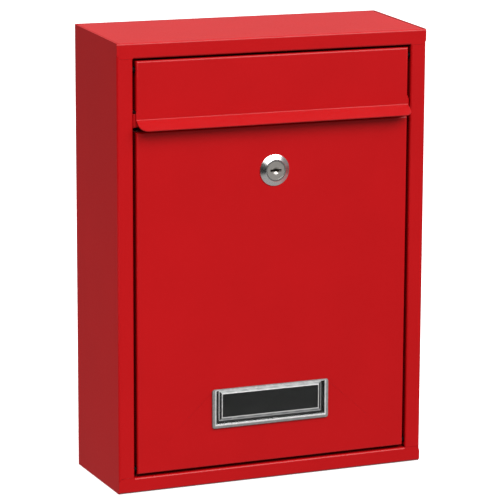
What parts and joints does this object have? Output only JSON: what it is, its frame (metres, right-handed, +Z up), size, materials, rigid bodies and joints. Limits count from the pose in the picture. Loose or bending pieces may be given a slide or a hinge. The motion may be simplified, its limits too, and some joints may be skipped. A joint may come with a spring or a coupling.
{
  "type": "wall letterbox",
  "caption": "Wall-mounted steel letterbox with a lipped flap over the mail slot, a bottom-hinged door below it with a cam lock, and a clear name holder.",
  "frame": {"origin": "centre of the flat underside of the casing", "axes": "+X to the right seen from the front, +Y from the front to the wall, +Z up"},
  "size_m": [0.236, 0.097, 0.324],
  "materials": {
    "red_coat": "satin red powder coat",
    "zinc_steel": "zinc plated",
    "pin_steel": "black oxide",
    "lock_chrome": "polished chrome plate",
    "plug_metal": "satin nickel plate",
    "brass": "plain brass",
    "spring_steel": "bright spring wire",
    "clear_plastic": "clear moulded plastic",
    "black_card": "matt black card"
  },
  "bodies": {
    "casing": {"casing_shell": "red_coat", "top_panel": "red_coat", "bottom_panel": "red_coat", "cross_rail": "red_coat"},
    "flap": {"flap": "red_coat", "flap_pin_left": "pin_steel", "flap_pin_right": "pin_steel"},
    "door": {"door": "red_coat", "door_pin_left": "pin_steel", "door_pin_right": "pin_steel", "lock_housing": "lock_chrome", "lock_washer": "zinc_steel", "lock_nut": "zinc_steel", "nameplate_window": "clear_plastic", "nameplate_card": "black_card"},
    "lock_core": {"lock_plug": "plug_metal", "lock_wafers": "brass", "lock_wafer_springs": "spring_steel", "lock_cam": "zinc_steel", "cam_washer": "zinc_steel", "cam_screw": "zinc_steel"}
  },
  "joints": [
    {"name": "flap_hinge", "type": "hinge", "parent": "casing", "child": "flap", "pos_m": [0, -0.0395, 0.3013], "axis": [-1, 0, 0], "range_deg": [0, 110]},
    {"name": "door_hinge", "type": "hinge", "parent": "casing", "child": "door", "pos_m": [0, -0.0395, 0.0165], "axis": [1, 0, 0], "range_deg": [0, 90]},
    {"name": "lock_turn", "type": "hinge", "parent": "door", "child": "lock_core", "pos_m": [0, -0.0435, 0.2251], "axis": [0, -1, 0], "range_deg": [0, 90]}
  ]
}
